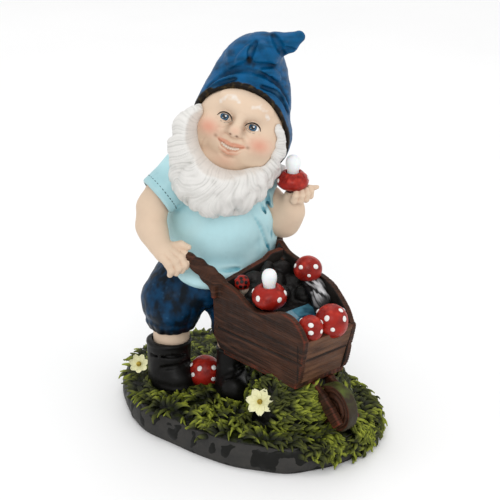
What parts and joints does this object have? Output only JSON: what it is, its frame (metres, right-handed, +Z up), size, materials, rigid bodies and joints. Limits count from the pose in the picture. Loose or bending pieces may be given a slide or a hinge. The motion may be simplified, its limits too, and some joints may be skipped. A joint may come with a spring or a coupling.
{
  "type": "garden gnome",
  "caption": "Painted resin garden gnome in a pointed hat pushing a wheelbarrow of toadstools on a grassy base, with solar lamp toadstools and a battery cover underneath.",
  "frame": {"origin": "middle of the base's footprint on the surface it stands on", "axes": "+Z up; -Y is the way the barrow is pushed and the figure faces; +X is the figure's left"},
  "size_m": [0.1626, 0.2319, 0.306],
  "materials": {
    "wire_jacket": "satin",
    "barrow_brown": "satin",
    "wheel_paint": "satin",
    "toadstool_red": "gloss",
    "ladybird_red": "gloss",
    "lens_white": "satin",
    "led_clear": "gloss",
    "soil_dark": "satin",
    "solar_cells": "gloss",
    "panel_clear": "gloss",
    "skin": "satin",
    "hat_blue": "satin",
    "beard_white": "matte",
    "shirt_aqua": "satin",
    "trousers_navy": "satin",
    "boot_black": "satin",
    "ground_green": "satin",
    "flower_cream": "satin",
    "black_abs": "satin",
    "steel": "satin",
    "cell_jacket": "gloss",
    "board_green": "satin",
    "chip_black": "matte",
    "coil_green": "gloss",
    "gasket_rubber": "matte"
  },
  "bodies": {
    "figure": {"hand_lamp_wire": "wire_jacket", "barrow_lamp_wire": "wire_jacket", "panel_wire": "wire_jacket", "right_side_board": "barrow_brown", "left_side_board": "barrow_brown", "front_board": "barrow_brown", "rear_board": "barrow_brown", "floor_board": "barrow_brown", "barrow_wheel": "wheel_paint", "wheel_fork": "wheel_paint", "hand_lamp_toadstool": "toadstool_red", "hand_lens": "lens_white", "hand_led": "led_clear", "barrow_lamp_toadstool": "toadstool_red", "barrow_lens": "lens_white", "barrow_led": "led_clear", "front_large_toadstool": "toadstool_red", "front_small_toadstool": "toadstool_red", "back_toadstool": "toadstool_red", "ground_toadstool": "toadstool_red", "ladybird": "ladybird_red", "soil_fill": "soil_dark", "solar_panel": "solar_cells", "panel_window": "panel_clear", "head": "skin", "hat": "hat_blue", "beard": "beard_white", "shirt": "shirt_aqua", "right_arm": "skin", "left_arm": "skin", "trousers": "trousers_navy", "right_shin": "skin", "left_shin": "skin", "right_boot": "boot_black", "left_boot": "boot_black", "ground_base": "ground_green", "flowers": "flower_cream", "battery_box": "black_abs", "battery_cell": "cell_jacket", "positive_contact": "steel", "negative_spring": "steel", "circuit_board": "board_green", "driver_chip": "chip_black", "choke_coil": "coil_green", "switch_housing": "steel"},
    "cover": {"battery_cover": "black_abs", "cover_gasket": "gasket_rubber", "cover_screws": "steel"},
    "switch": {"switch_slider": "black_abs"}
  },
  "joints": [
    {"name": "cover_lift_off", "type": "slide", "parent": "figure", "child": "cover", "axis": [0, 0, -1], "range_m": [0, 0.03]},
    {"name": "switch_slide", "type": "slide", "parent": "figure", "child": "switch", "axis": [1, 0, 0], "range_m": [0, 0.0022]}
  ]
}
